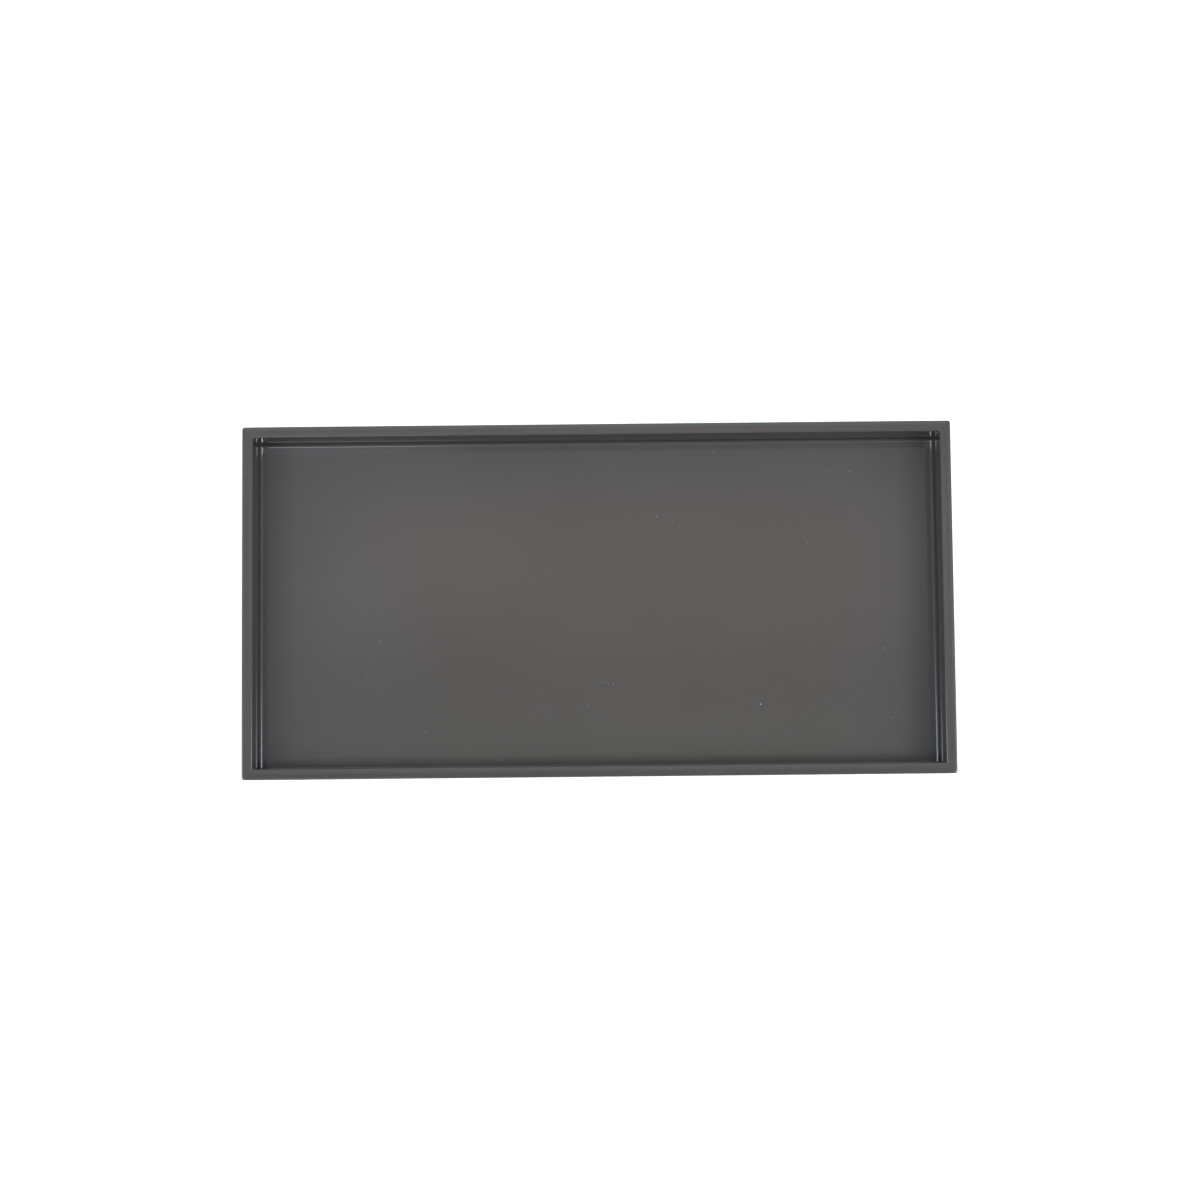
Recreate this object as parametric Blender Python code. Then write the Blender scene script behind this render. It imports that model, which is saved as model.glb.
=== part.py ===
"""Charcoal lacquer tray, built piece by piece as its maker would build it.

Four cove-footed rails meet in keyed mitres. A flat panel is let into a rabbet under them, glued, and
held by small pins driven up from below. Four felt feet carry the tray. Lengths are in metres, +X runs
along the tray, +Y to its far side, +Z up, and the origin is under the middle, on the table.
"""

import math
from collections import namedtuple

import bmesh
import bpy
from mathutils import Matrix, Vector

# Driving dimensions of the tray
TRAY_LENGTH = 0.406
TRAY_WIDTH = 0.202
WELL_DEPTH = 0.033
RAIL_THICKNESS = 0.0063
PANEL_THICKNESS = 0.004

# Clearance left between touching pieces, which is the glue line
GLUE_GAP = 0.0003

# Rail section
RIM_EDGE_RADIUS = 0.0008
BOTTOM_EDGE_RADIUS = 0.0005
COVE_RADIUS = 0.002
COVE_NOSE = 0.0002
RABBET_DEPTH = 0.0036

# Corners as seen from above
OUTER_CORNER_RADIUS = 0.0016
INNER_CORNER_RADIUS = 0.0005

# Loose keys glued across the mitres, and the least wood left outside them
KEY_THICKNESS = 0.0016
KEY_WIDTH = 0.0048
KEY_COVER = 0.0012
KEY_ABOVE_PANEL = 0.006
KEY_BELOW_RIM = 0.009
KEY_CHAMFER = 0.0002

# Pins that hold the panel up in its rabbet
PIN_SHANK_RADIUS = 0.0005
PIN_HEAD_RADIUS = 0.0008
PIN_HEAD_THICKNESS = 0.0006
PIN_POINT_LENGTH = 0.0015
PIN_BITE = 0.008
PIN_END_INSET = 0.028
PINS_IN_LONG_RAIL = 5
PINS_IN_SHORT_RAIL = 3

# Felt feet under the panel
FOOT_RADIUS = 0.007
FOOT_THICKNESS = 0.0012
FOOT_EDGE_RADIUS = 0.0003
FOOT_INSET = 0.02

# Mesh fineness
EDGE_STEPS = 4
COVE_STEPS = 6
CORNER_STEPS = 8
PIN_SIDES = 12
FOOT_SIDES = 40
SHARP_ANGLE = math.radians(35)
SAW_TOLERANCE = 1e-7

# Heights and half sizes that follow from the dimensions above
UNDERSIDE = FOOT_THICKNESS + GLUE_GAP
FLOOR = UNDERSIDE + PANEL_THICKNESS
RIM = FLOOR + WELL_DEPTH
WELL_HALF_LENGTH = TRAY_LENGTH / 2 - RAIL_THICKNESS
WELL_HALF_WIDTH = TRAY_WIDTH / 2 - RAIL_THICKNESS
PIN_LENGTH = PANEL_THICKNESS + PIN_BITE

# The four sides: half the well's length along the side, the well wall's distance from the middle, the
# number of pins, the direction along the side, the direction outward, and the turn about Z in degrees
Side = namedtuple("Side", "name half_run wall_offset pins along outward heading")
LONG_SIDE = (WELL_HALF_LENGTH, WELL_HALF_WIDTH, PINS_IN_LONG_RAIL, Vector((1, 0, 0)))
SHORT_SIDE = (WELL_HALF_WIDTH, WELL_HALF_LENGTH, PINS_IN_SHORT_RAIL, Vector((0, 1, 0)))
SIDES = (
    Side("back", *LONG_SIDE, Vector((0, 1, 0)), 0),
    Side("left", *SHORT_SIDE, Vector((-1, 0, 0)), 90),
    Side("front", *LONG_SIDE, Vector((0, -1, 0)), 180),
    Side("right", *SHORT_SIDE, Vector((1, 0, 0)), 270),
)

# Finishes: colour, roughness, metallic, clear coat
FINISHES = {
    "charcoal_lacquer": ((0.070, 0.069, 0.068), 0.12, 0.0, 1.0),
    "beech": ((0.52, 0.36, 0.21), 0.60, 0.0, 0.0),
    "steel": ((0.55, 0.55, 0.56), 0.30, 1.0, 0.0),
    "felt": ((0.045, 0.045, 0.047), 0.95, 0.0, 0.0),
}


def clear_scene():
    for old in list(bpy.data.objects):
        bpy.data.objects.remove(old)


def finish_material(piece, finish):
    """Gives the piece its own material, in one of the tray's finishes."""
    colour, roughness, metallic, coat = FINISHES[finish]
    material = bpy.data.materials.new(piece.name)
    material.use_nodes = True
    shader = material.node_tree.nodes["Principled BSDF"]
    shader.inputs["Base Color"].default_value = (*colour, 1.0)
    shader.inputs["Roughness"].default_value = roughness
    shader.inputs["Metallic"].default_value = metallic
    shader.inputs["Coat Weight"].default_value = coat
    piece.data.materials.append(material)


def object_from(bm, name):
    """A new object that holds the mesh, shaded smooth except at its sharp edges."""
    bmesh.ops.recalc_face_normals(bm, faces=bm.faces)
    mesh = bpy.data.meshes.new(name)
    bm.to_mesh(mesh)
    bm.free()
    mesh.shade_smooth()
    mesh.set_sharp_from_angle(angle=SHARP_ANGLE)
    piece = bpy.data.objects.new(name, mesh)
    bpy.context.scene.collection.objects.link(piece)
    return piece


def as_cutter(piece):
    piece.hide_render = True
    piece.display_type = "WIRE"
    return piece


def cut(piece, cutter):
    """Takes the cutter's shape out of the piece."""
    modifier = piece.modifiers.new(cutter.name, "BOOLEAN")
    modifier.operation = "DIFFERENCE"
    modifier.object = cutter


def arc(centre, radius, start, end, steps):
    """Points on an arc in a plane, both ends included. Angles are in degrees."""
    turns = [math.radians(start + (end - start) * i / steps) for i in range(steps + 1)]
    return [(centre[0] + radius * math.cos(a), centre[1] + radius * math.sin(a)) for a in turns]


def bridge(bm, ring, next_ring):
    """Faces between two rings of as many vertices."""
    count = len(ring)
    for i in range(count):
        j = (i + 1) % count
        bm.faces.new((ring[i], ring[j], next_ring[j], next_ring[i]))


# The rails

def rail_section():
    """The rail cut across: (distance outward from the well's wall, height), going round once."""
    bottom_edge = (RAIL_THICKNESS - BOTTOM_EDGE_RADIUS, UNDERSIDE + BOTTOM_EDGE_RADIUS)
    outer_edge = (RAIL_THICKNESS - RIM_EDGE_RADIUS, RIM - RIM_EDGE_RADIUS)
    inner_edge = (RIM_EDGE_RADIUS, RIM - RIM_EDGE_RADIUS)
    cove = (-COVE_RADIUS, FLOOR + COVE_RADIUS)
    # The cove stops at a blunt nose, a glue line above the panel
    nose_top = GLUE_GAP + COVE_NOSE
    nose_angle = -math.degrees(math.asin(1 - nose_top / COVE_RADIUS))
    points = arc(bottom_edge, BOTTOM_EDGE_RADIUS, -90, 0, EDGE_STEPS)
    points += arc(outer_edge, RIM_EDGE_RADIUS, 0, 90, EDGE_STEPS)
    points += arc(inner_edge, RIM_EDGE_RADIUS, 90, 180, EDGE_STEPS)
    points += arc(cove, COVE_RADIUS, 0, nose_angle, COVE_STEPS)
    nose = points[-1][0]
    points.append((nose, FLOOR + GLUE_GAP))
    points.append((RABBET_DEPTH, FLOOR + GLUE_GAP))
    points.append((RABBET_DEPTH, UNDERSIDE))
    return points


def corner_radius(outward):
    """Radius of the corner seen from above, growing from the well's wall to the outside."""
    share = min(max(outward / RAIL_THICKNESS, 0), 1)
    return INNER_CORNER_RADIUS + share * (OUTER_CORNER_RADIUS - INNER_CORNER_RADIUS)


def rail_station(section, half_run, end, turn):
    """The section placed at one end of the rail (end is 1 or -1), turned round the corner by turn."""
    ring = []
    for outward, height in section:
        radius = corner_radius(outward)
        along = half_run + outward - radius + radius * math.sin(turn)
        across = outward - radius + radius * math.cos(turn)
        ring.append(Vector((end * along, across, height)))
    return ring


def saw_mitre(bm, half_run, end):
    """Saws the rail off at 45 degrees, half a glue line short of the corner, and closes the cut."""
    normal = Vector((end, -1, 0)).normalized()
    corner = Vector((end * half_run, 0, 0))
    cut_point = corner - normal * GLUE_GAP / 2
    everything = list(bm.verts) + list(bm.edges) + list(bm.faces)
    bmesh.ops.bisect_plane(
        bm, geom=everything, dist=SAW_TOLERANCE, plane_co=cut_point, plane_no=normal, clear_outer=True
    )
    sawn = []
    for edge in bm.edges:
        if edge.is_boundary and all(vertex.co.x * end > 0 for vertex in edge.verts):
            sawn.append(edge)
    bmesh.ops.holes_fill(bm, edges=sawn, sides=0)


def build_rail(side):
    """A rail swept along its side and round both corners, then mitred. Its own +Y points outward."""
    section = rail_section()
    turns = [math.radians(90 * i / CORNER_STEPS) for i in range(CORNER_STEPS + 1)]
    stations = [rail_station(section, side.half_run, -1, turn) for turn in reversed(turns)]
    stations += [rail_station(section, side.half_run, 1, turn) for turn in turns]
    bm = bmesh.new()
    rings = [[bm.verts.new(point) for point in station] for station in stations]
    for ring, next_ring in zip(rings, rings[1:]):
        bridge(bm, ring, next_ring)
    saw_mitre(bm, side.half_run, 1)
    saw_mitre(bm, side.half_run, -1)
    rail = object_from(bm, side.name + "_rail")
    rail.location = side.outward * side.wall_offset
    rail.rotation_euler.z = math.radians(side.heading)
    finish_material(rail, "charcoal_lacquer")
    return rail


# The panel

def rounded_rectangle(half_x, half_y, radius, steps):
    """Outline points of a rounded rectangle about the middle, anticlockwise."""
    points = []
    for quarter, (sx, sy) in enumerate(((1, 1), (-1, 1), (-1, -1), (1, -1))):
        centre = (sx * (half_x - radius), sy * (half_y - radius))
        points += arc(centre, radius, 90 * quarter, 90 * (quarter + 1), steps)
    return points


def build_panel():
    """The tray's floor: a flat panel that fills the rabbet, less the glue line."""
    reach = RABBET_DEPTH - GLUE_GAP
    radius = corner_radius(RABBET_DEPTH)
    outline = rounded_rectangle(WELL_HALF_LENGTH + reach, WELL_HALF_WIDTH + reach, radius, EDGE_STEPS)
    bm = bmesh.new()
    bottom = bm.faces.new([bm.verts.new((x, y, UNDERSIDE)) for x, y in outline])
    raised = bmesh.ops.extrude_face_region(bm, geom=[bottom])["geom"]
    lifted = [item for item in raised if isinstance(item, bmesh.types.BMVert)]
    bmesh.ops.translate(bm, verts=lifted, vec=(0, 0, PANEL_THICKNESS))
    panel = object_from(bm, "base_panel")
    finish_material(panel, "charcoal_lacquer")
    return panel


# The mitre keys

def key_block(name, side_x, side_y, grow):
    """A key's block, standing across one mitre and larger by grow on every side."""
    outward = Vector((side_x, side_y, 0)).normalized()
    well_corner = Vector((side_x * WELL_HALF_LENGTH, side_y * WELL_HALF_WIDTH, 0))
    # The key's outer corners keep their cover of wood in both rails
    setback = (RAIL_THICKNESS - KEY_COVER) * math.sqrt(2) - (KEY_THICKNESS + KEY_WIDTH) / 2
    bottom = FLOOR + KEY_ABOVE_PANEL
    top = RIM - KEY_BELOW_RIM
    size = [length + 2 * grow for length in (KEY_THICKNESS, KEY_WIDTH, top - bottom)]
    bm = bmesh.new()
    bmesh.ops.create_cube(bm, size=1, matrix=Matrix.Diagonal((*size, 1)))
    block = object_from(bm, name)
    block.location = well_corner + outward * setback + Vector((0, 0, (top + bottom) / 2))
    block.rotation_euler.z = math.atan2(side_y, side_x)
    return block


def build_mitre_key(place, side_x, side_y):
    """Builds the key and returns the cutter for its mortise."""
    key = key_block("mitre_key_" + place, side_x, side_y, 0)
    chamfer = key.modifiers.new("chamfer", "BEVEL")
    chamfer.width = KEY_CHAMFER
    chamfer.segments = 1
    finish_material(key, "beech")
    return as_cutter(key_block("mortise_" + place, side_x, side_y, GLUE_GAP))


# The pins and feet

def turned(profile, sides):
    """A solid turned about Z from (radius, height) points, with a pole at each end."""
    bm = bmesh.new()
    angles = [2 * math.pi * i / sides for i in range(sides)]
    rings = []
    for radius, height in profile[1:-1]:
        rings.append([bm.verts.new((radius * math.cos(a), radius * math.sin(a), height)) for a in angles])
    for ring, next_ring in zip(rings, rings[1:]):
        bridge(bm, ring, next_ring)
    for (_, height), ring in ((profile[0], rings[0]), (profile[-1], rings[-1])):
        pole = bm.verts.new((0, 0, height))
        for i, corner in enumerate(ring):
            bm.faces.new((pole, corner, ring[(i + 1) % sides]))
    return bm


def pin_profile(grow):
    """A pin's outline from the underside of its head to its point, larger by grow all over."""
    shank = PIN_SHANK_RADIUS + grow
    head = PIN_HEAD_RADIUS + grow
    neck = PIN_HEAD_THICKNESS + grow
    shoulder = PIN_LENGTH - PIN_POINT_LENGTH + grow
    # The mouth of a grown outline runs out through the underside
    mouth = -2 * grow
    return [(0, mouth), (head, mouth), (head, neck), (shank, neck), (shank, shoulder), (0, PIN_LENGTH + grow)]


def pin_spots(side):
    """Where the pins of a side stand: evenly spaced, in the middle of the rabbet."""
    reach = side.half_run - PIN_END_INSET
    line = side.outward * (side.wall_offset + RABBET_DEPTH / 2)
    return [line + side.along * reach * (2 * i / (side.pins - 1) - 1) for i in range(side.pins)]


def build_pin(place, spot):
    """Builds a pin, sunk a glue line above the underside, and returns the cutter for its hole."""
    pin = object_from(turned(pin_profile(0), PIN_SIDES), "panel_pin_" + place)
    hole = as_cutter(object_from(turned(pin_profile(GLUE_GAP), PIN_SIDES), "pin_hole_" + place))
    for piece in (pin, hole):
        piece.location = spot + Vector((0, 0, UNDERSIDE + GLUE_GAP))
    finish_material(pin, "steel")
    return hole


def build_foot(place, side_x, side_y):
    """A felt disc stuck under the panel, its lower edge rounded."""
    edge_centre = (FOOT_RADIUS - FOOT_EDGE_RADIUS, FOOT_EDGE_RADIUS)
    edge = arc(edge_centre, FOOT_EDGE_RADIUS, -90, 0, EDGE_STEPS)
    profile = [(0, 0), *edge, (FOOT_RADIUS, FOOT_THICKNESS), (0, FOOT_THICKNESS)]
    foot = object_from(turned(profile, FOOT_SIDES), "felt_foot_" + place)
    foot.location.x = side_x * (TRAY_LENGTH / 2 - FOOT_INSET)
    foot.location.y = side_y * (TRAY_WIDTH / 2 - FOOT_INSET)
    finish_material(foot, "felt")


def build_tray():
    clear_scene()
    panel = build_panel()
    rails = {side.name: build_rail(side) for side in SIDES}
    for front_back, side_y in (("front", -1), ("back", 1)):
        for left_right, side_x in (("left", -1), ("right", 1)):
            place = front_back + "_" + left_right
            mortise = build_mitre_key(place, side_x, side_y)
            cut(rails[front_back], mortise)
            cut(rails[left_right], mortise)
            build_foot(place, side_x, side_y)
    for side in SIDES:
        for number, spot in enumerate(pin_spots(side), start=1):
            hole = build_pin(f"{side.name}_{number}", spot)
            cut(rails[side.name], hole)
            cut(panel, hole)


build_tray()
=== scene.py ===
# %% [markdown]
# # A charcoal lacquer tray
#
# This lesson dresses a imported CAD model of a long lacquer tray. The CAD model gives the size and place
# of every piece. Here each piece gets the surface that the eye sees: rails whose lacquer runs unbroken
# round the mitres, a floor as glossy as still water, and felt feet with a soft nap.

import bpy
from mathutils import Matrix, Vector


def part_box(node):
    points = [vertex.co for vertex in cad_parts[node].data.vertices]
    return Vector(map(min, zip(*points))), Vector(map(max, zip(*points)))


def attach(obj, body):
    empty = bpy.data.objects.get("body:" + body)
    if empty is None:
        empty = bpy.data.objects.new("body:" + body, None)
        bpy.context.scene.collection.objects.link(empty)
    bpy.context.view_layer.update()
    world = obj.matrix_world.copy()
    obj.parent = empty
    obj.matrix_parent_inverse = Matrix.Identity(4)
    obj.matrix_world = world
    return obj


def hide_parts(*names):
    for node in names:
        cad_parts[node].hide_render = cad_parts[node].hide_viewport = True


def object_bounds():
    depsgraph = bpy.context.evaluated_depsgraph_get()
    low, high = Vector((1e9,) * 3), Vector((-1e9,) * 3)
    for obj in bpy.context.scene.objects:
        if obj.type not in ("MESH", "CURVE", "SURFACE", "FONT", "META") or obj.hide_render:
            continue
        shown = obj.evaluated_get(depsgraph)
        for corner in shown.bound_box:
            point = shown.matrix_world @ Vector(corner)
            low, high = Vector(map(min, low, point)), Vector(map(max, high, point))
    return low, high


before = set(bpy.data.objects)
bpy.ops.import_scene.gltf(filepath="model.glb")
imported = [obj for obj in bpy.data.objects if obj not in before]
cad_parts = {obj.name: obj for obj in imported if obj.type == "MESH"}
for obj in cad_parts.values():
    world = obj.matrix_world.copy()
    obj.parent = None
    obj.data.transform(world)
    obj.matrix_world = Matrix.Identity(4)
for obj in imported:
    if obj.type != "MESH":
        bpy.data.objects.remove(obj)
cad_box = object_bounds()
print("CAD box, in metres:", [tuple(round(value, 4) for value in corner) for corner in cad_box])

# %% [markdown]
# ## What the frame can tell
#
# Heights and outer sizes are read from the frame, so they are never written twice. The base panel's
# box gives the floor and the underside, and the whole box gives the rim and the outer faces. The wall's
# thickness and its small radii can't be read from a box, so they are written here in metres. The rim's
# crown is the angle, in degrees, by which its gentle arch turns down at either side.

# %% Sizes of the tray
import math

import bmesh
import bpy
from mathutils import Matrix, Vector, noise

HALF_LENGTH = cad_box[1].x
HALF_WIDTH = cad_box[1].y
RIM = cad_box[1].z
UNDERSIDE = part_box("base_panel")[0].z
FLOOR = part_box("base_panel")[1].z
PANEL_HALF_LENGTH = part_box("base_panel")[1].x
PANEL_HALF_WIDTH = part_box("base_panel")[1].y

RAIL_THICKNESS = 0.0063
RIM_EDGE_RADIUS = 0.0008
RIM_CROWN = 3.0
BOTTOM_EDGE_RADIUS = 0.0005
COVE_RADIUS = 0.002
WALL_LEAN = 0.0006
OUTER_CORNER_RADIUS = 0.0016
INNER_CORNER_RADIUS = 0.0005
JOINT_LINE = 0.0003

WELL_HALF_LENGTH = HALF_LENGTH - RAIL_THICKNESS
WELL_HALF_WIDTH = HALF_WIDTH - RAIL_THICKNESS
RABBET_DEPTH = PANEL_HALF_LENGTH - WELL_HALF_LENGTH + JOINT_LINE
WELL_DEPTH = RIM - FLOOR
well = (2 * WELL_HALF_LENGTH, 2 * WELL_HALF_WIDTH, WELL_DEPTH)
print("well, in metres:", [round(value, 4) for value in well], " rabbet:", round(RABBET_DEPTH, 4))


# %% [markdown]
# ## Writing shaders as sums
#
# A shader graph is easier to read as arithmetic. The class below wraps one output socket. Adding,
# multiplying or comparing two of them adds the Math node that does it, and the reflected forms let a
# plain number stand on the left, as in 1 - mask. Every other node comes from one method, which takes
# the node's type, its settings and what goes into its sockets.

# %% A socket that can be added and multiplied
class Wire:
    """One output socket of a material's graph."""

    def __init__(self, graph, socket):
        self.graph = graph
        self.socket = socket

    def _math(self, operation, left, right):
        return self.graph.node("ShaderNodeMath", {"operation": operation}, {0: left, 1: right})

    def __add__(self, other):
        return self._math("ADD", self, other)

    def __radd__(self, other):
        return self._math("ADD", other, self)

    def __sub__(self, other):
        return self._math("SUBTRACT", self, other)

    def __rsub__(self, other):
        return self._math("SUBTRACT", other, self)

    def __mul__(self, other):
        return self._math("MULTIPLY", self, other)

    def __rmul__(self, other):
        return self._math("MULTIPLY", other, self)

    def __gt__(self, other):
        return self._math("GREATER_THAN", self, other)

    def turned_from(self, other):
        """The angle whose tangent is this value over the other."""
        return self._math("ARCTAN2", self, other)

    def between(self, low, high, soft):
        """1 from low to high, fading to 0 over twice the softness at each end."""
        return self.smooth(low - soft, low + soft) * (1 - self.smooth(high - soft, high + soft))

    def smooth(self, start, end):
        """0 up to start, 1 from end on, and a soft step between them."""
        settings = {"interpolation_type": "SMOOTHSTEP"}
        sockets = {"Value": self, "From Min": start, "From Max": end}
        return self.graph.node("ShaderNodeMapRange", settings, sockets)


class Graph:
    """The node graph of a new material or world, and the shader at its end."""

    def __init__(self, owner, shader="Principled BSDF", space="Object"):
        owner.use_nodes = True
        self.owner = owner
        self.tree = owner.node_tree
        self.shader = self.tree.nodes[shader]
        self.place = self.node("ShaderNodeTexCoord", output=space)

    def link(self, value, socket):
        if isinstance(value, Wire):
            self.tree.links.new(value.socket, socket)
        else:
            socket.default_value = value

    def node(self, kind, settings=None, sockets=None, output=0):
        """A node of this type: its settings are set first, then its sockets get values or wires."""
        made = self.tree.nodes.new(kind)
        for name, value in (settings or {}).items():
            setattr(made, name, value)
        for name, value in (sockets or {}).items():
            self.link(value, made.inputs[name])
        return Wire(self, made.outputs[output])

    def split(self, vector):
        """The three parts of a vector, each as a wire."""
        first = self.node("ShaderNodeSeparateXYZ", sockets={"Vector": vector})
        parts = first.socket.node.outputs
        return [Wire(self, parts[axis]) for axis in "XYZ"]

    def noise(self, size, detail=2.0, roughness=0.5, stretch=(1, 1, 1)):
        """Soft noise whose blotches are about size metres wide."""
        spot = self.node("ShaderNodeMapping", sockets={"Vector": self.place, "Scale": stretch})
        sockets = {"Vector": spot, "Scale": 1 / size, "Detail": detail, "Roughness": roughness}
        return self.node("ShaderNodeTexNoise", sockets=sockets)

    def bump(self, height, strength, distance):
        """The surface normal, tilted by a height that stands for this many metres."""
        sockets = {"Strength": strength, "Distance": distance, "Height": height}
        return self.node("ShaderNodeBump", sockets=sockets)

    def mix(self, share, first, second, blend="MIX"):
        """A colour from first (at 0) to second (at 1), or first with a share of second added."""
        settings = {"data_type": "RGBA", "blend_type": blend}
        return self.node("ShaderNodeMix", settings, {0: share, 6: first, 7: second}, output=2)

    def finish(self, values):
        """Sets the shader's sockets, and returns the material or world."""
        for name, value in values.items():
            self.link(value, self.shader.inputs[name])
        return self.owner


# %% [markdown]
# ## Dust
#
# Nothing shows dust like a dark gloss, and no tray is free of it for longer than a minute. The larger
# grains are laid down one by one, as (x, y, radius) in metres, and finer grit is scattered by a cell
# pattern that keeps only a few of its cells. Dust falls, so it lies only on faces that look up. The
# floor is also mixed evenly a little towards the dust's grey, which makes it a shade paler than the rim.

# %% Lay the dust
DUST_GREY = (0.45, 0.46, 0.48)
GRAINS = [
    (0.0939, -0.0593, 0.00029),
    (0.0347, 0.0508, 0.00018),
    (0.0027, -0.0456, 0.00017),
    (0.0056, -0.0462, 0.00014),
    (0.0085, -0.0468, 0.00014),
    (0.1482, 0.0762, 0.00017),
    (-0.1271, -0.0209, 0.00016),
    (-0.0306, -0.0627, 0.00016),
    (0.1661, -0.0274, 0.00016),
    (0.1228, 0.0346, 0.00016),
    (0.0440, 0.0477, 0.00014),
    (0.1191, -0.0111, 0.00014),
    (-0.0420, 0.0468, 0.00014),
    (0.1335, -0.0580, 0.00014),
    (-0.0062, -0.0589, 0.00014),
    (0.1705, -0.0682, 0.00014),
    (-0.1011, -0.0736, 0.00014),
]
GRIT_CELL = 0.006
GRIT_RADIUS = 0.00013
GRIT_SHARE = 0.07
FLOOR_PALING = 0.005
FLOOR_PALING_TOP = 0.001
FACING_UP = 0.98


def lay_dust_and_paling(graph):
    """1 on a grain of dust, a small even share on the floor, and 0 beside them."""
    dust = 0.0
    for x, y, radius in GRAINS:
        sockets = {0: graph.place, 1: (x, y, FLOOR)}
        away = graph.node("ShaderNodeVectorMath", {"operation": "DISTANCE"}, sockets, "Value")
        dust = 1 - away.smooth(radius * 0.6, radius * 1.3) + dust
    cells = {"Vector": graph.place, "Scale": 1 / GRIT_CELL, "Randomness": 1.0}
    flat = {"voronoi_dimensions": "2D", "feature": "F1"}
    away = graph.node("ShaderNodeTexVoronoi", flat, cells, "Distance")
    lot = graph.split(graph.node("ShaderNodeTexVoronoi", flat, cells, "Color"))[2]
    share = 1 - lot.smooth(0, GRIT_SHARE)
    grit = 1 - (away * GRIT_CELL).smooth(GRIT_RADIUS * 0.4, GRIT_RADIUS * 1.2)
    # Faces up to a millimetre above the floor get an even small share of the dust's grey, so the floor is
    # a shade paler than the rim.
    floor_paling = (1 - graph.split(graph.place)[2].smooth(FLOOR, FLOOR + FLOOR_PALING_TOP)) * FLOOR_PALING
    facing_up = graph.split(graph.node("ShaderNodeTexCoord", output="Normal"))[2] > FACING_UP
    return (grit * share + dust + floor_paling) * facing_up


# %% [markdown]
# ## The lacquer
#
# Charcoal pigment is bound in clear lacquer and sprayed in many coats, each rubbed flat. The colour is
# all in the pigment, and the gloss is the skin of the last coat, so one dielectric surface over a dark
# base does the work. What keeps it from looking like plastic is small: the skin keeps a trace of the
# spray's orange peel, a cloth has left faint streaks along the tray, and the pigment drifts a little.
# The underside gets only a thin coat that is never rubbed, so it stays satin and a little grainy. That
# coat ends within a millimetre of the tray's lower edge.

# %% Make the lacquer
PIGMENT_DEEP = (0.0495, 0.0498, 0.0472)
PIGMENT_PALE = (0.0535, 0.0538, 0.0512)
GLOSS = 0.08
SATIN = 0.38
HAZE = 0.012
STREAKS = 0.012
DUST_ROUGHNESS = 0.4
UNDERCOAT_REACH = (0.0002, 0.0008)


def rgba(colour):
    return (*colour, 1.0)


def make_lacquer(name):
    graph = Graph(bpy.data.materials.new(name))
    # This mask holds the dust and the floor's even paling.
    dust = lay_dust_and_paling(graph)
    drift = graph.noise(0.12, detail=2).smooth(0.35, 0.65)
    pigment = graph.mix(drift, rgba(PIGMENT_DEEP), rgba(PIGMENT_PALE))
    colour = graph.mix(dust, pigment, rgba(DUST_GREY))
    start, end = (UNDERSIDE + reach for reach in UNDERCOAT_REACH)
    below = 1 - graph.split(graph.place)[2].smooth(start, end)
    grain = graph.noise(0.0008, detail=3)
    peel = graph.noise(0.0035, detail=1)
    sway = graph.noise(0.03, detail=1)
    height = peel * 0.2 + sway + grain * below
    bump = graph.bump(height, 0.02, 0.001)
    haze = graph.noise(0.02, detail=4).smooth(0.45, 0.8)
    streaks = graph.noise(0.006, detail=3, stretch=(0.1, 1, 1)).smooth(0.5, 0.8)
    skin = haze * HAZE + streaks * STREAKS + GLOSS
    rough = skin + (SATIN - GLOSS) * below + (dust > 0.2) * DUST_ROUGHNESS
    return graph.finish({"Base Color": colour, "Roughness": rough, "IOR": 1.5, "Normal": bump})


lacquer = make_lacquer("charcoal_lacquer")
print("grains of dust:", len(GRAINS), " lacquer nodes:", len(lacquer.node_tree.nodes))


# %% [markdown]
# ## A rail's section
#
# All four rails are run with the same section, so it is drawn once, as runs of points that each carry
# their own normal. The normals matter: on a mirror finish a facet shows as a kink in a reflection, and
# a normal worked out from the drawing is exact at the mitre, where two pieces must look like one.

# %% Draw the section
EDGE_STEPS = 8
COVE_STEPS = 16


def arc_run(centre, radius, start, end, steps, outward=1):
    """Points on an arc with their normals, which face the centre where outward is -1."""
    run = []
    for i in range(steps + 1):
        angle = math.radians(start + (end - start) * i / steps)
        away = (math.cos(angle), math.sin(angle))
        point = (centre[0] + radius * away[0], centre[1] + radius * away[1])
        run.append((point, (outward * away[0], outward * away[1])))
    return run


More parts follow.
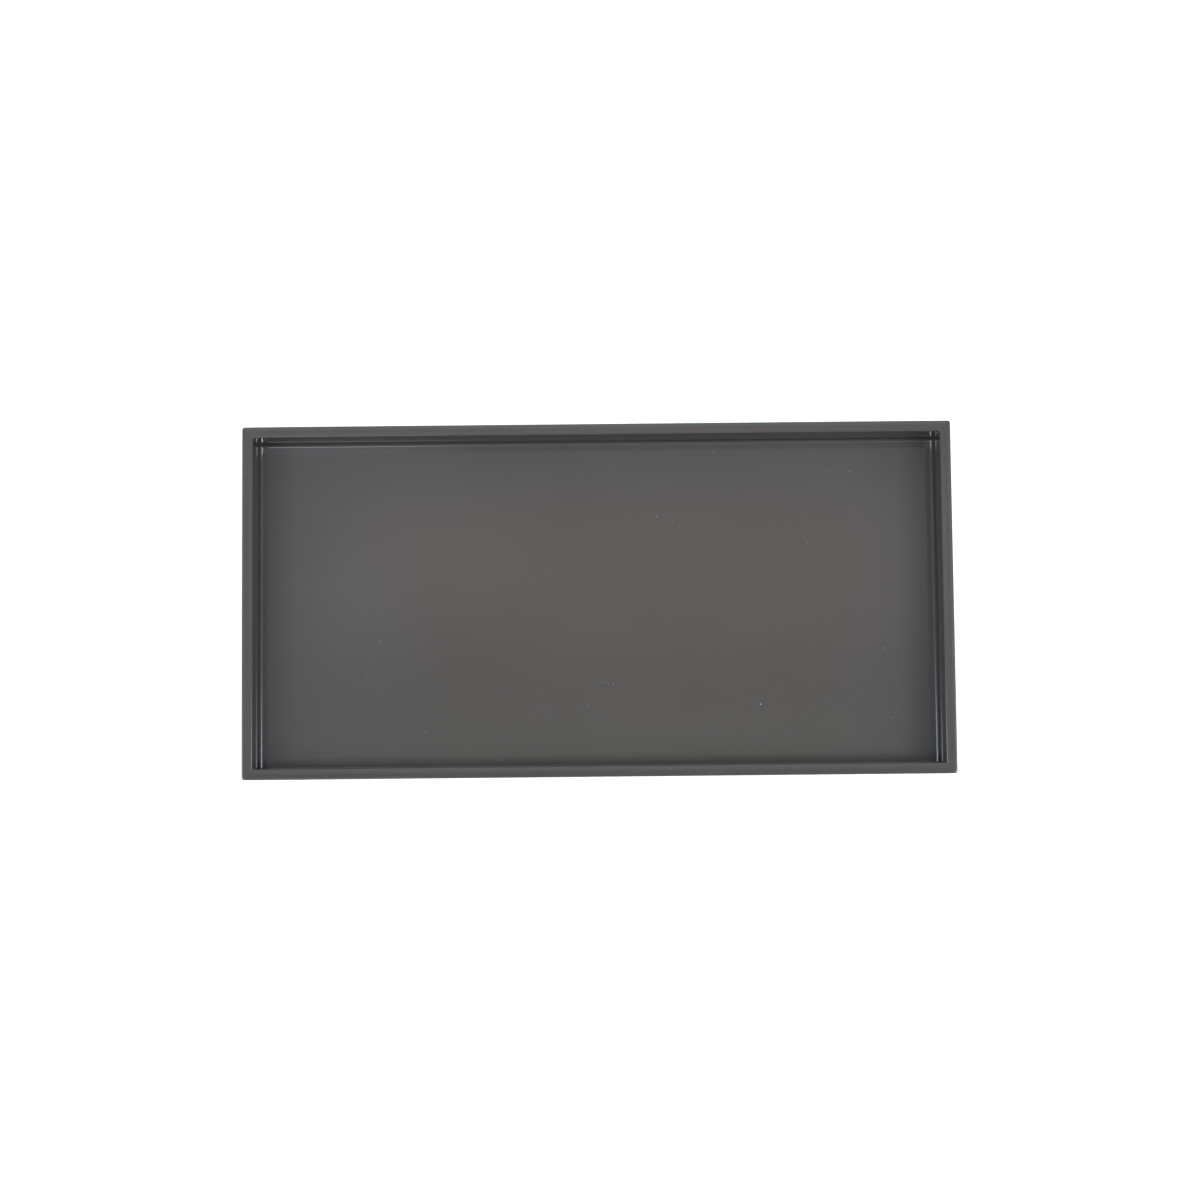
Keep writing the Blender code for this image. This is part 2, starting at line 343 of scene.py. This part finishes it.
def rail_section():
    """Edges of the section as (point, normal, next point, next normal), anticlockwise."""
    foot_centre = (RAIL_THICKNESS - BOTTOM_EDGE_RADIUS, UNDERSIDE + BOTTOM_EDGE_RADIUS)
    foot = arc_run(foot_centre, BOTTOM_EDGE_RADIUS, -90, 0, EDGE_STEPS)
    crown = math.radians(RIM_CROWN)
    middle = RAIL_THICKNESS / 2
    crown_radius = (middle - RIM_EDGE_RADIUS) / math.sin(crown) + RIM_EDGE_RADIUS
    edge_height = RIM - crown_radius + (crown_radius - RIM_EDGE_RADIUS) * math.cos(crown)
    left, right = 90 + RIM_CROWN, 90 - RIM_CROWN
    outer = arc_run((RAIL_THICKNESS - RIM_EDGE_RADIUS, edge_height), RIM_EDGE_RADIUS, 0, right, EDGE_STEPS)
    top = arc_run((middle, RIM - crown_radius), crown_radius, right, left, EDGE_STEPS)
    lean = math.atan2(WALL_LEAN, WELL_DEPTH)
    cove_middle = WALL_LEAN - COVE_RADIUS * (1 + math.sin(lean)) / math.cos(lean)
    lean = math.degrees(lean)
    inner = arc_run((RIM_EDGE_RADIUS, edge_height), RIM_EDGE_RADIUS, left, 180 + lean, EDGE_STEPS)
    cove = arc_run((cove_middle, FLOOR + COVE_RADIUS), COVE_RADIUS, lean, -90, COVE_STEPS, -1)
    smooth = foot + outer + top[1:-1] + inner + cove
    edges = [(*a, *b) for a, b in zip(smooth, smooth[1:])]
    toe = smooth[-1][0]
    seat = (RABBET_DEPTH, FLOOR)
    heel = (RABBET_DEPTH, UNDERSIDE)
    edges.append((toe, (0, -1), seat, (0, -1)))
    edges.append((seat, (-1, 0), heel, (-1, 0)))
    edges.append((heel, (0, -1), smooth[0][0], (0, -1)))
    return edges


section = rail_section()
print("section edges:", len(section))

# %% [markdown]
# ## Sweeping a rail
#
# A rail runs straight along its side and turns half of each corner, up to the mitre. The corner's
# radius grows from the well's wall to the outer face, because the arris outside is sanded rounder than
# the corner inside. Sweeping the section round both half corners gives the rail, and the normal at each
# place is the cross product of the two directions in which the surface runs.

# %% Sweep the rails
CORNER_STEPS = 10


def corner_radius(outward):
    share = min(max(outward / RAIL_THICKNESS, 0), 1)
    return INNER_CORNER_RADIUS + share * (OUTER_CORNER_RADIUS - INNER_CORNER_RADIUS)


def swept_point(point, half_run, end, turn):
    outward, height = point
    radius = corner_radius(outward)
    along = half_run + outward - radius + radius * math.sin(turn)
    across = outward - radius + radius * math.cos(turn)
    return Vector((end * along, across, height))


def swept_normal(point, normal, end, turn):
    outward, upward = normal
    growth = (OUTER_CORNER_RADIUS - INNER_CORNER_RADIUS) / RAIL_THICKNESS if point[0] > 0 else 0
    spread = math.cos(turn) * (1 - growth * (1 - math.cos(turn)))
    spread += math.sin(turn) * (1 - growth * (1 - math.sin(turn)))
    return Vector((end * math.sin(turn) * outward, math.cos(turn) * outward, upward * spread)).normalized()


def mesh_with_normals(name, faces):
    """A mesh from faces, each a list of (point, normal) corners. Corners at one place are joined."""
    mesh = bpy.data.meshes.new(name)
    places = {}
    polygons = []
    normals = []
    for face in faces:
        polygon = []
        for point, normal in face:
            key = tuple(round(value * 1e8) for value in point)
            index = places.setdefault(key, len(places))
            if index not in polygon:
                polygon.append(index)
                normals.append(normal)
        polygons.append(polygon)
    points = [tuple(value / 1e8 for value in key) for key in places]
    mesh.from_pydata(points, [], polygons)
    mesh.shade_smooth()
    mesh.normals_split_custom_set([tuple(normal) for normal in normals])
    return mesh


def rail_faces(half_run):
    turns = [math.radians(45 * i / CORNER_STEPS) for i in range(CORNER_STEPS + 1)]
    stations = [(-1, turn) for turn in reversed(turns)] + [(1, turn) for turn in turns]

    def corner(point, normal, station):
        return swept_point(point, half_run, *station), swept_normal(point, normal, *station)

    faces = []
    for here, ahead in zip(stations, stations[1:]):
        for point, normal, next_point, next_normal in section:
            near = [corner(point, normal, here), corner(next_point, next_normal, here)]
            far = [corner(next_point, next_normal, ahead), corner(point, normal, ahead)]
            faces.append(near + far)
    for end in (-1, 1):
        sawn = Vector((end, -1, 0)).normalized()
        cap = [(swept_point(edge[0], half_run, end, turns[-1]), sawn) for edge in section]
        faces.append(cap if end == 1 else list(reversed(cap)))
    return faces


def link_piece(name, mesh, material):
    piece = bpy.data.objects.new(name, mesh)
    bpy.context.scene.collection.objects.link(piece)
    mesh.materials.append(material)
    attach(piece, "root")
    return piece


def make_rail(side, half_run, wall_offset, heading):
    mesh = mesh_with_normals(side + "_rail_lacquered", rail_faces(half_run))
    turn = Matrix.Rotation(math.radians(heading), 4, "Z")
    mesh.transform(turn @ Matrix.Translation((0, wall_offset, 0)))
    rail = link_piece(side + "_rail_lacquered", mesh, lacquer)
    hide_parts(side + "_rail")
    return rail


rails = [
    make_rail("back", WELL_HALF_LENGTH, WELL_HALF_WIDTH, 0),
    make_rail("left", WELL_HALF_WIDTH, WELL_HALF_LENGTH, 90),
    make_rail("front", WELL_HALF_LENGTH, WELL_HALF_WIDTH, 180),
    make_rail("right", WELL_HALF_WIDTH, WELL_HALF_LENGTH, 270),
]
for rail in rails:
    print(rail.name, "faces:", len(rail.data.polygons))

# %% [markdown]
# ## The floor panel
#
# The panel lies in the rabbet, and its lacquered face is the tray's floor. It is a plate with rounded
# corners and a small arris below, where its joint with the rails shows as a fine line.

# %% Make the floor panel
PANEL_ARRIS = 0.0003
PANEL_CORNER_STEPS = 6


def plate_ring(inset, height):
    half_x, half_y = PANEL_HALF_LENGTH - inset, PANEL_HALF_WIDTH - inset
    radius = corner_radius(RABBET_DEPTH) - inset
    ring = []
    for quarter, (sx, sy) in enumerate(((1, 1), (-1, 1), (-1, -1), (1, -1))):
        centre = (sx * (half_x - radius), sy * (half_y - radius))
        for point, _ in arc_run(centre, radius, 90 * quarter, 90 * (quarter + 1), PANEL_CORNER_STEPS):
            ring.append((*point, height))
    return ring


def make_panel():
    bm = bmesh.new()
    levels = ((PANEL_ARRIS, UNDERSIDE), (0, UNDERSIDE + PANEL_ARRIS), (0, FLOOR))
    rings = [[bm.verts.new(point) for point in plate_ring(*level)] for level in levels]
    for low, high in zip(rings, rings[1:]):
        for i in range(len(low)):
            j = (i + 1) % len(low)
            bm.faces.new((low[i], low[j], high[j], high[i]))
    bm.faces.new(reversed(rings[0]))
    bm.faces.new(rings[-1])
    mesh = bpy.data.meshes.new("floor_panel_lacquered")
    bm.to_mesh(mesh)
    bm.free()
    mesh.shade_smooth()
    mesh.set_sharp_from_angle(angle=math.radians(30))
    panel = link_piece("floor_panel_lacquered", mesh, lacquer)
    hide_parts("base_panel")
    return panel


panel = make_panel()
print(panel.name, "faces:", len(panel.data.polygons))

# %% [markdown]
# ## The felt feet
#
# Each foot is a disc punched from pressed felt. The punch drags the fibres, so the rim of a disc is
# never a clean circle: it wanders a little, and single hairs stand out. The face that rests on the
# table is pressed flat and keeps to one plane, or the tray would rock.

# %% Make the felt feet
FOOT_RINGS = 7
FOOT_SIDES = 96
FOOT_NAP = 0.00012
FOOT_EDGE = 0.0003


def felt_profile(radius, bottom, top):
    """Radius, height and share of the nap, from the middle of the lower face to that of the upper."""
    inner = [(radius * i / FOOT_RINGS, bottom, 0) for i in range(FOOT_RINGS)]
    flank = [(radius - FOOT_EDGE, bottom, 0.2), (radius - FOOT_EDGE * 0.3, bottom + FOOT_EDGE * 0.3, 0.8)]
    flank += [(radius, bottom + (top - bottom) * share, 1) for share in (0.25, 0.45, 0.65, 0.85)]
    flank += [(radius - FOOT_EDGE * 0.4, top, 0.4)]
    return inner[:-1] + flank


def make_foot(place):
    low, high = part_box("felt_foot_" + place)
    middle = (low + high) / 2
    radius = (high.x - low.x) / 2 - FOOT_NAP
    bm = bmesh.new()
    rings = []
    for away, height, nap in felt_profile(radius, low.z, high.z)[1:]:
        ring = []
        for i in range(FOOT_SIDES):
            angle = 2 * math.pi * i / FOOT_SIDES
            around = Vector((math.cos(angle), math.sin(angle), 0))
            spot = Vector((middle.x, middle.y, height)) + around * away
            fuzz = noise.noise(spot * 1800) * 0.6 + noise.noise(spot * 5200) * 0.4
            ring.append(bm.verts.new(spot + around * min(max(fuzz, -1), 1) * nap * FOOT_NAP))
        rings.append(ring)
    for lower, upper in zip(rings, rings[1:]):
        for i in range(FOOT_SIDES):
            j = (i + 1) % FOOT_SIDES
            bm.faces.new((lower[i], lower[j], upper[j], upper[i]))
    for ring, height, flip in ((rings[0], low.z, True), (rings[-1], high.z, False)):
        centre = bm.verts.new((middle.x, middle.y, height))
        for i in range(FOOT_SIDES):
            corners = (ring[i], ring[(i + 1) % FOOT_SIDES], centre)
            bm.faces.new(tuple(reversed(corners)) if flip else corners)
    mesh = bpy.data.meshes.new("foot_disc_" + place)
    bm.to_mesh(mesh)
    bm.free()
    mesh.shade_smooth()
    foot = link_piece("foot_disc_" + place, mesh, felt)
    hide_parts("felt_foot_" + place)
    return foot


def make_felt():
    graph = Graph(bpy.data.materials.new("pressed_felt"))
    fibres = graph.noise(0.0004, detail=5, roughness=0.7, stretch=(1, 1, 0.5))
    clumps = graph.noise(0.002, detail=2)
    shade = (fibres * 0.7 + clumps * 0.3).smooth(0.3, 0.7)
    colour = graph.mix(shade, rgba((0.022, 0.022, 0.024)), rgba((0.060, 0.059, 0.060)))
    bump = graph.bump(fibres, 0.8, 0.0002)
    sheen = {"Sheen Weight": 0.5, "Sheen Roughness": 0.6}
    return graph.finish({"Base Color": colour, "Roughness": 0.95, "Normal": bump, **sheen})


felt = make_felt()
corners = [depth + "_" + side for depth in ("front", "back") for side in ("left", "right")]
feet = [make_foot(corner) for corner in corners]
print("feet:", [foot.name for foot in feet])

# %% [markdown]
# ## Keys and pins
#
# The beech keys across the mitres and the steel pins below lie inside the wood, where only a cut would
# show them. They keep their CAD shapes and get finishes of their own: beech is pale with short dark
# flecks along the grain, and drawn wire has fine scratches along its length.

# %% Finish the keys and pins
def make_beech():
    graph = Graph(bpy.data.materials.new("beech_key"))
    grain = graph.noise(0.0012, detail=4, stretch=(1, 1, 0.12))
    fleck = graph.noise(0.0004, detail=1, stretch=(1, 1, 0.3)).smooth(0.62, 0.7)
    wood = graph.mix(grain.smooth(0.3, 0.7), rgba((0.47, 0.31, 0.18)), rgba((0.56, 0.40, 0.25)))
    colour = graph.mix(fleck * 0.6, wood, rgba((0.27, 0.15, 0.08)))
    bump = graph.bump(grain, 0.3, 0.0001)
    return graph.finish({"Base Color": colour, "Roughness": grain * 0.15 + 0.55, "Normal": bump})


def make_steel():
    graph = Graph(bpy.data.materials.new("drawn_steel"))
    scratch = graph.noise(0.0002, detail=3, stretch=(1, 1, 0.03))
    colour = graph.mix(scratch, rgba((0.50, 0.50, 0.52)), rgba((0.60, 0.60, 0.60)))
    bump = graph.bump(scratch, 0.2, 0.00005)
    rough = scratch * 0.2 + 0.22
    return graph.finish({"Base Color": colour, "Metallic": 1.0, "Roughness": rough, "Normal": bump})


def dress(node, material):
    node.data.materials.clear()
    node.data.materials.append(material)


beech, steel = make_beech(), make_steel()
for name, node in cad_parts.items():
    if name.startswith("mitre_key"):
        dress(node, beech)
    elif name.startswith("panel_pin"):
        dress(node, steel)
print("beech keys:", sum(name.startswith("mitre_key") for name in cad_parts))
print("steel pins:", sum(name.startswith("panel_pin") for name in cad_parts))

# %% [markdown]
# ## The stage
#
# The tray was photographed from above on a white table, a little from the front. The camera's place
# comes from the perspective of the rim and the floor: 1.43 m above the rim and 0.12 m towards the
# front, tilted 4.8 degrees, with a lens of 75.5 mm.

# %% Place the camera
CAMERA_HEIGHT = 1.4291
CAMERA_FORWARD = 0.1207
CAMERA_TILT = 4.81
CAMERA_ROLL = -0.57
CAMERA_LENS = 75.5

camera_data = bpy.data.cameras.new("camera")
camera_data.lens = CAMERA_LENS
camera_data.sensor_width = 36
camera = bpy.data.objects.new("camera", camera_data)
bpy.context.scene.collection.objects.link(camera)
camera.location = (0, -CAMERA_FORWARD, RIM + CAMERA_HEIGHT)
camera.rotation_euler = (math.radians(CAMERA_TILT), 0, math.radians(CAMERA_ROLL))
bpy.context.scene.camera = camera
bpy.context.scene.view_settings.view_transform = "Standard"

# %% [markdown]
# The table is a plain white board. Seen directly or in a mirror face it adds a little light of its own,
# which carries it to the paper white of a product picture, while the shadow under the tray still shows.
# That light reaches only the eye and mirror faces, so it lights no dull surface.

# %% Make the table
TABLE_REACH = 5.0
TABLE_WHITE = 0.8
TABLE_LIFT = 0.45


def make_table():
    mesh = bpy.data.meshes.new("table")
    ends = [(sx * TABLE_REACH, sy * TABLE_REACH, 0) for sx, sy in ((-1, -1), (1, -1), (1, 1), (-1, 1))]
    mesh.from_pydata(ends, [], [(0, 1, 2, 3)])
    table = bpy.data.objects.new("table", mesh)
    bpy.context.scene.collection.objects.link(table)
    graph = Graph(bpy.data.materials.new("table_white"))
    rays = ("Is Camera Ray", "Is Glossy Ray", "Is Transmission Ray")
    seen = sum(graph.node("ShaderNodeLightPath", output=ray) for ray in rays)
    lift = graph.mix(seen, rgba((0, 0, 0)), rgba((TABLE_LIFT,) * 3))
    values = {"Base Color": rgba((TABLE_WHITE,) * 3), "Roughness": 0.9, "Emission Color": lift}
    mesh.materials.append(graph.finish({**values, "Emission Strength": 1.0, "Specular IOR Level": 0.0}))
    return table


table = make_table()
print("table:", TABLE_REACH * 2, "m across")

# %% [markdown]
# ## The light
#
# The light is a dim room with soft boxes in it, painted as one sky round the tray. A place in this sky
# is given by its tilt, in degrees from straight up towards the right, and by its depth, which is -1 at
# the front and 1 at the back. Each box is given by its reach in tilt and in depth, by how softly it
# fades out along either, as cloth in front of a lamp does, and by its colour.
#
# A level floor can only mirror what hangs straight above it, so the crown sets its tone: warm in the
# middle and cool towards the sides. A cove runs along its wall and mirrors only what lies across from
# it. The right boxes draw the lines at the foot of the left wall, and the left boxes those at the right
# wall. Both reach from the front to just past straight overhead, so the lines are bright near the front
# and end near the tray's middle. In the far corners they come back for a few millimetres, because there
# the back wall mirrors the boxes once more.

# %% Paint the room
ROOM = (0.24, 0.24, 0.24)
SKY_BOXES = {
    "crown": ((-14, 14), (0.01, 0.22), (4, 0.014), (0.12, 0.12, 0.09)),
    "crown_back": ((-14, 14), (0.128, 0.24), (4, 0.02), (0.08, 0.12, 0.22)),
    "crown_front": ((-6, 7), (0.015, 0.036), (2, 0.01), (0.34, 0.31, 0.27)),
    "crown_band": ((-7, 7.6), (0.066, 0.13), (2, 0.02), (0.6, 0.47, 0.45)),
    "crown_warm": ((-5.5, 7.5), (0.02, 0.14), (3, 0.025), (0.2, 0.06, 0)),
    "crown_left": ((-14, -4.5), (0.015, 0.1), (2, 0.02), (0.2, 0.22, 0.35)),
    "crown_right": ((7, 14), (0.02, 0.14), (2, 0.02), (0.08, 0.08, 0.28)),
    "front_left": ((-14, -4), (-0.5, -0.19), (1.5, 0.03), (5.0, 5.1, 5.9)),
    "front_right": ((-4, 14), (-0.5, -0.19), (3, 0.03), (1.0, 0.75, 0.45)),
    "back": ((-14, 14), (0.2, 0.8), (4, 0.04), (1.0, 1.0, 0.95)),
    "right": ((12, 34), (-0.2, -0.05), (2, 0.02), (27.0, 27.2, 27.2)),
    "right_edge": ((18, 38), (-0.05, 0.035), (2, 0.02), (8.6, 9.2, 10.9)),
    "right_low": ((38, 54), (-0.2, 0.035), (2, 0.02), (5.0, 5.6, 6.8)),
    "right_haze": ((12, 38), (0.035, 0.15), (2, 0.02), (1.0, 1.1, 1.3)),
    "left": ((-35, -14), (-0.2, -0.05), (2, 0.02), (19.5, 20.0, 20.2)),
    "left_edge": ((-38, -18), (-0.05, 0.035), (2, 0.02), (8.0, 8.9, 10.9)),
    "left_low": ((-54, -38), (-0.2, 0.035), (2, 0.02), (5.0, 5.5, 6.6)),
    "left_haze": ((-38, -12), (0.035, 0.15), (2, 0.02), (0.6, 0.7, 0.9)),
}


def paint_room():
    graph = Graph(bpy.data.worlds.new("room"), "Background", "Generated")
    across, depth, up = graph.split(graph.place)
    tilt = across.turned_from(up) * (180 / math.pi)
    sky = rgba(ROOM)
    for tilt_reach, depth_reach, (soft_tilt, soft_depth), colour in SKY_BOXES.values():
        inside = tilt.between(*tilt_reach, soft_tilt) * depth.between(*depth_reach, soft_depth)
        sky = graph.mix(inside, sky, rgba(colour), "ADD")
    seen = graph.node("ShaderNodeLightPath", output="Is Camera Ray")
    sky = graph.mix(seen, sky, rgba((1, 1, 1)))
    bpy.context.scene.world = graph.finish({"Color": sky, "Strength": 1.0})


paint_room()
print("soft boxes:", ", ".join(SKY_BOXES))
